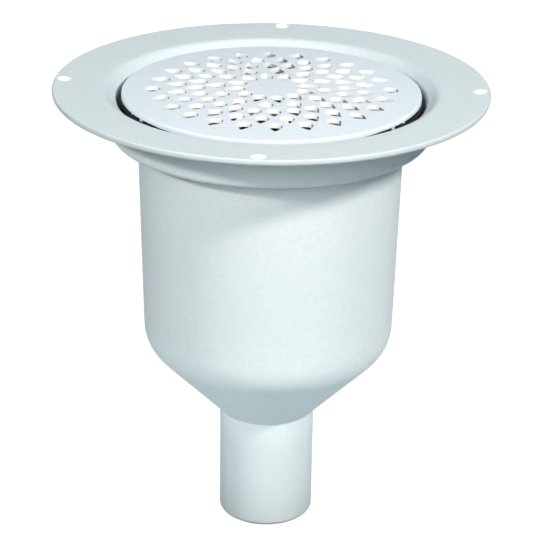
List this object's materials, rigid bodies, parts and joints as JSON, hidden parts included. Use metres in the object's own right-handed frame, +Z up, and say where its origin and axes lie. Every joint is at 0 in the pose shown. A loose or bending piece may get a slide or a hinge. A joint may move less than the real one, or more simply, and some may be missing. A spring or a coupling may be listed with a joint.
{
  "type": "floor drain",
  "caption": "Round flanged floor drain with a tapered barrel, a cone and an upright outlet spigot, a lift-out grate and a removable water trap.",
  "frame": {"origin": "on the drain's axis, in the top face of the flange", "axes": "+Z up along the drain's axis, out of the floor; +X and +Y through the fixing holes"},
  "size_m": [0.22, 0.22, 0.241],
  "materials": {
    "body_plastic": "satin, pale cool grey",
    "grate_plastic": "satin white",
    "trap_plastic": "dark grey to black, fine grain",
    "seal_rubber": "matt black"
  },
  "bodies": {
    "root": {"drain_body": "body_plastic", "grate": "grate_plastic", "trap_insert": "trap_plastic", "trap_cup": "trap_plastic", "trap_seal": "seal_rubber"}
  },
  "joints": []
}
